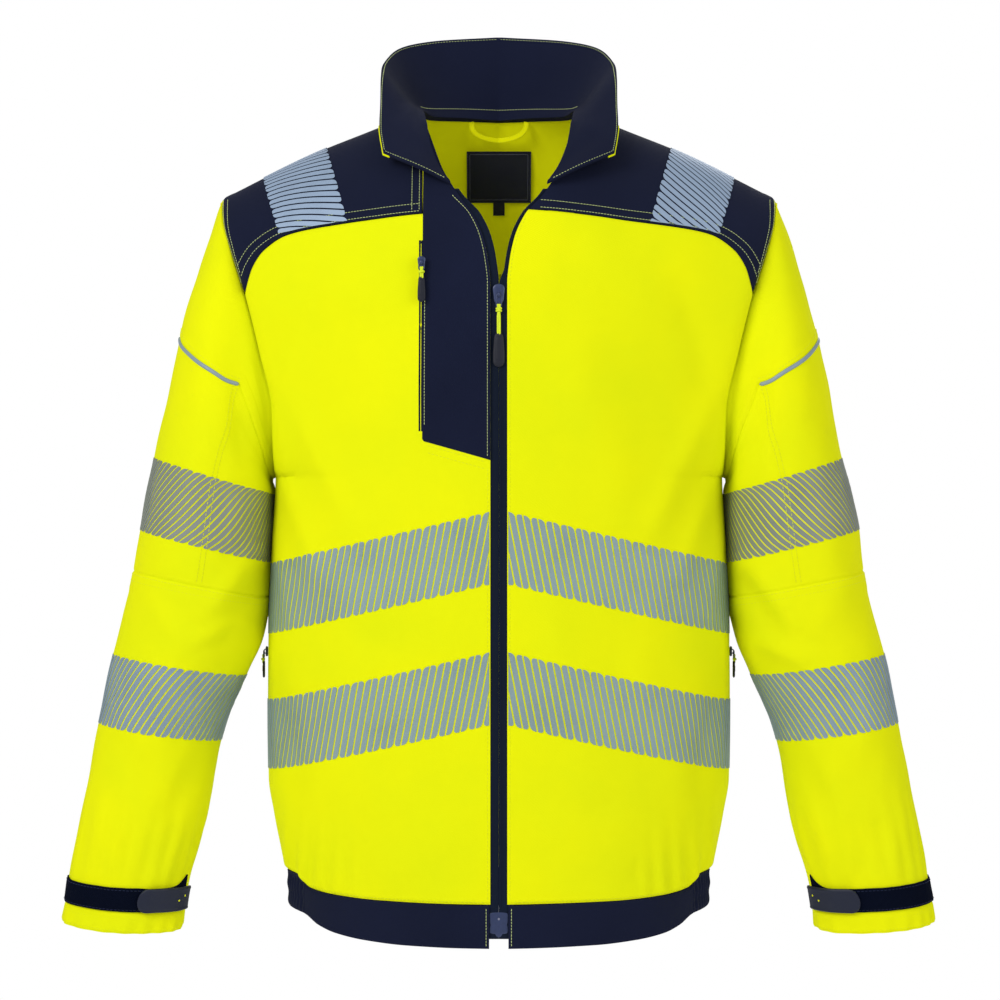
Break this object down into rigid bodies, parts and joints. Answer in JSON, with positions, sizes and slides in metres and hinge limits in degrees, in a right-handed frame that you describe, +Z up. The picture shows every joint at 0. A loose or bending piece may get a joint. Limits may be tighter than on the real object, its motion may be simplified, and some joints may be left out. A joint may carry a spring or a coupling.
{
  "type": "work jacket",
  "caption": "High-visibility zip-front work jacket with stand collar, contrast yokes, segmented reflective tape, zip pockets and adjustable cuffs.",
  "frame": {"origin": "top centre of the hanger loop, at the centre-back neck seam", "axes": "+Z up the garment, -Y out of the front, +X to the wearer's left"},
  "size_m": [0.7538, 0.2532, 0.7874],
  "materials": {
    "yellow_cloth": "matt twill, fluorescent yellow",
    "navy_cloth": "matt twill, navy",
    "yellow_lining": "matt, olive yellow inside",
    "reflective_tape": "satin, segmented retroreflective film",
    "zip_tape": "woven zip tape with reverse coil",
    "hook_and_loop": "fuzzy loop pile",
    "pocketing": "plain thin pocket cloth",
    "label": "woven satin label, blank",
    "moulded_rubber": "matt moulded",
    "slider_metal": "satin blue enamel"
  },
  "bodies": {
    "garment": {"left_front_panel": "yellow_cloth", "right_front_panel": "yellow_cloth", "left_front_yoke": "navy_cloth", "right_front_yoke": "navy_cloth", "chest_pocket_panel": "navy_cloth", "chest_pocket_bag": "pocketing", "back_panel": "yellow_cloth", "back_yoke": "navy_cloth", "back_neck_facing": "yellow_lining", "left_front_facing": "navy_cloth", "right_front_facing": "navy_cloth", "left_hem_band": "navy_cloth", "right_hem_band": "navy_cloth", "back_hem_band": "navy_cloth", "left_hem_elastic": "navy_cloth", "right_hem_elastic": "navy_cloth", "left_sleeve_cap": "yellow_cloth", "right_sleeve_cap": "yellow_cloth", "left_upper_sleeve": "yellow_cloth", "right_upper_sleeve": "yellow_cloth", "left_forearm": "yellow_cloth", "right_forearm": "yellow_cloth", "left_sleeve_piping": "reflective_tape", "right_sleeve_piping": "reflective_tape", "left_upper_sleeve_tape": "reflective_tape", "right_upper_sleeve_tape": "reflective_tape", "left_lower_sleeve_tape": "reflective_tape", "right_lower_sleeve_tape": "reflective_tape", "left_cuff_strap": "hook_and_loop", "right_cuff_strap": "hook_and_loop", "left_front_upper_tape": "reflective_tape", "right_front_upper_tape": "reflective_tape", "back_upper_tape": "reflective_tape", "left_front_lower_tape": "reflective_tape", "right_front_lower_tape": "reflective_tape", "back_lower_tape": "reflective_tape", "left_shoulder_tape": "reflective_tape", "right_shoulder_tape": "reflective_tape", "collar_outer": "navy_cloth", "collar_inner": "navy_cloth", "neck_label": "label", "hanger_loop": "yellow_lining", "left_zip_tape": "zip_tape", "right_zip_tape": "zip_tape", "zip_retainer_box": "slider_metal", "chest_zip_tape": "zip_tape", "left_pocket_zip_tape": "zip_tape", "right_pocket_zip_tape": "zip_tape", "left_pocket_bag": "pocketing", "right_pocket_bag": "pocketing"},
    "main_slider": {"main_slider": "slider_metal"},
    "main_puller": {"main_puller": "moulded_rubber"},
    "chest_slider": {"chest_slider": "slider_metal"},
    "chest_puller": {"chest_puller": "moulded_rubber"},
    "left_pocket_slider": {"left_pocket_slider": "slider_metal"},
    "left_pocket_puller": {"left_pocket_puller": "moulded_rubber"},
    "right_pocket_slider": {"right_pocket_slider": "slider_metal"},
    "right_pocket_puller": {"right_pocket_puller": "moulded_rubber"},
    "left_cuff_tab": {"left_cuff_tab": "moulded_rubber"},
    "right_cuff_tab": {"right_cuff_tab": "moulded_rubber"}
  },
  "joints": [
    {"name": "main_zip_slide", "type": "slide", "parent": "garment", "child": "main_slider", "axis": [0, -0.0217, -0.9998], "range_m": [0, 0.497]},
    {"name": "main_puller_swing", "type": "hinge", "parent": "main_slider", "child": "main_puller", "pos_m": [0, -0.1929, -0.172], "axis": [1, 0, 0], "range_deg": [-150, 0]},
    {"name": "chest_zip_slide", "type": "slide", "parent": "garment", "child": "chest_slider", "axis": [0, -0.0748, -0.9972], "range_m": [0, 0.13]},
    {"name": "chest_puller_swing", "type": "hinge", "parent": "chest_slider", "child": "chest_puller", "pos_m": [-0.064, -0.1913, -0.145], "axis": [1, 0, 0], "range_deg": [-150, 0]},
    {"name": "left_pocket_zip_slide", "type": "slide", "parent": "garment", "child": "left_pocket_slider", "axis": [0, 0, -1], "range_m": [0, 0.09]},
    {"name": "left_pocket_puller_swing", "type": "hinge", "parent": "left_pocket_slider", "child": "left_pocket_puller", "pos_m": [0.2044, -0.0706, -0.4735], "axis": [0, 1, 0], "range_deg": [-28, 0]},
    {"name": "right_pocket_zip_slide", "type": "slide", "parent": "garment", "child": "right_pocket_slider", "axis": [0, 0, -1], "range_m": [0, 0.09]},
    {"name": "right_pocket_puller_swing", "type": "hinge", "parent": "right_pocket_slider", "child": "right_pocket_puller", "pos_m": [-0.2044, -0.0706, -0.4735], "axis": [0, 1, 0], "range_deg": [0, 28]},
    {"name": "left_cuff_tab_peel", "type": "hinge", "parent": "garment", "child": "left_cuff_tab", "pos_m": [0.26824, -0.10157, -0.68217], "axis": [-0.1634, 0.0353, 0.9859], "range_deg": [-110, 0]},
    {"name": "right_cuff_tab_peel", "type": "hinge", "parent": "garment", "child": "right_cuff_tab", "pos_m": [-0.26824, -0.10157, -0.68217], "axis": [0.1634, 0.0353, 0.9859], "range_deg": [0, 110]}
  ]
}
